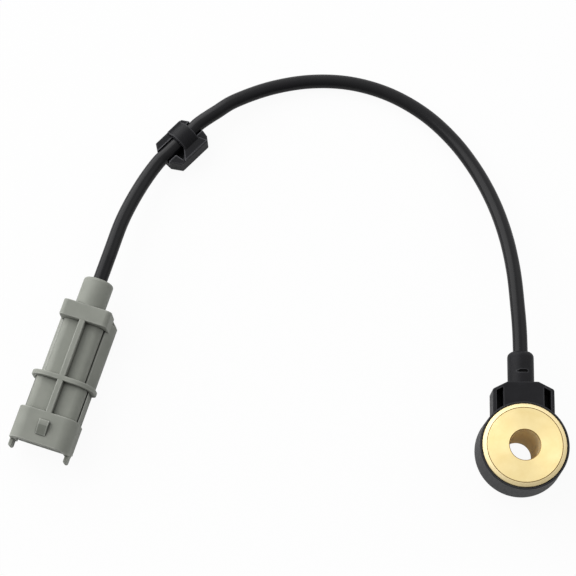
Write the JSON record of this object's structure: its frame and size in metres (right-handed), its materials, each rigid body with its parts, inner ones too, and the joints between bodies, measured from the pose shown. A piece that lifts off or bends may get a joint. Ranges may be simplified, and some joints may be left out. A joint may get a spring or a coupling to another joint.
{
  "type": "engine knock sensor",
  "caption": "Ring-type engine knock sensor: brass flanged sleeve in a black plastic body, with a clipped lead to a grey plug-in connector.",
  "frame": {"origin": "on the surface that the sensor lies on, under the middle of the head's outline", "axes": "+Z along the bolt bore, out of the brass mounting face; +Y along the head's neck, the way the lead leaves"},
  "size_m": [0.1555, 0.1277, 0.02],
  "materials": {
    "brass": "fine turned",
    "steel": "machined",
    "tinned_bronze": "tin plated, satin",
    "piezo_ceramic": "fired, matt",
    "insulating_film": "smooth",
    "resistor_lacquer": "lacquered",
    "black_nylon": "fine grained",
    "jacket_black": "satin",
    "grey_nylon": "matt",
    "white_core": "smooth",
    "black_core": "smooth",
    "bare_braid": "tinned"
  },
  "bodies": {
    "root": {"base_sleeve": "brass", "insulating_sleeve": "insulating_film", "flange_insulator": "insulating_film", "signal_contact_ring": "tinned_bronze", "piezo_ring": "piezo_ceramic", "ground_contact_ring": "tinned_bronze", "mass_insulator": "insulating_film", "seismic_mass": "steel", "disc_spring": "steel", "retaining_nut": "steel", "shunt_resistor": "resistor_lacquer", "signal_crimp": "tinned_bronze", "ground_crimp": "tinned_bronze", "signal_core_head_end": "white_core", "ground_core_head_end": "black_core", "head_overmould": "black_nylon", "cable": "jacket_black", "cable_clip": "black_nylon", "connector_housing": "grey_nylon", "signal_terminal": "tinned_bronze", "ground_terminal": "tinned_bronze", "shield_terminal": "tinned_bronze", "signal_core_plug_end": "white_core", "ground_core_plug_end": "black_core", "shield_drain_plug_end": "bare_braid"}
  },
  "joints": []
}
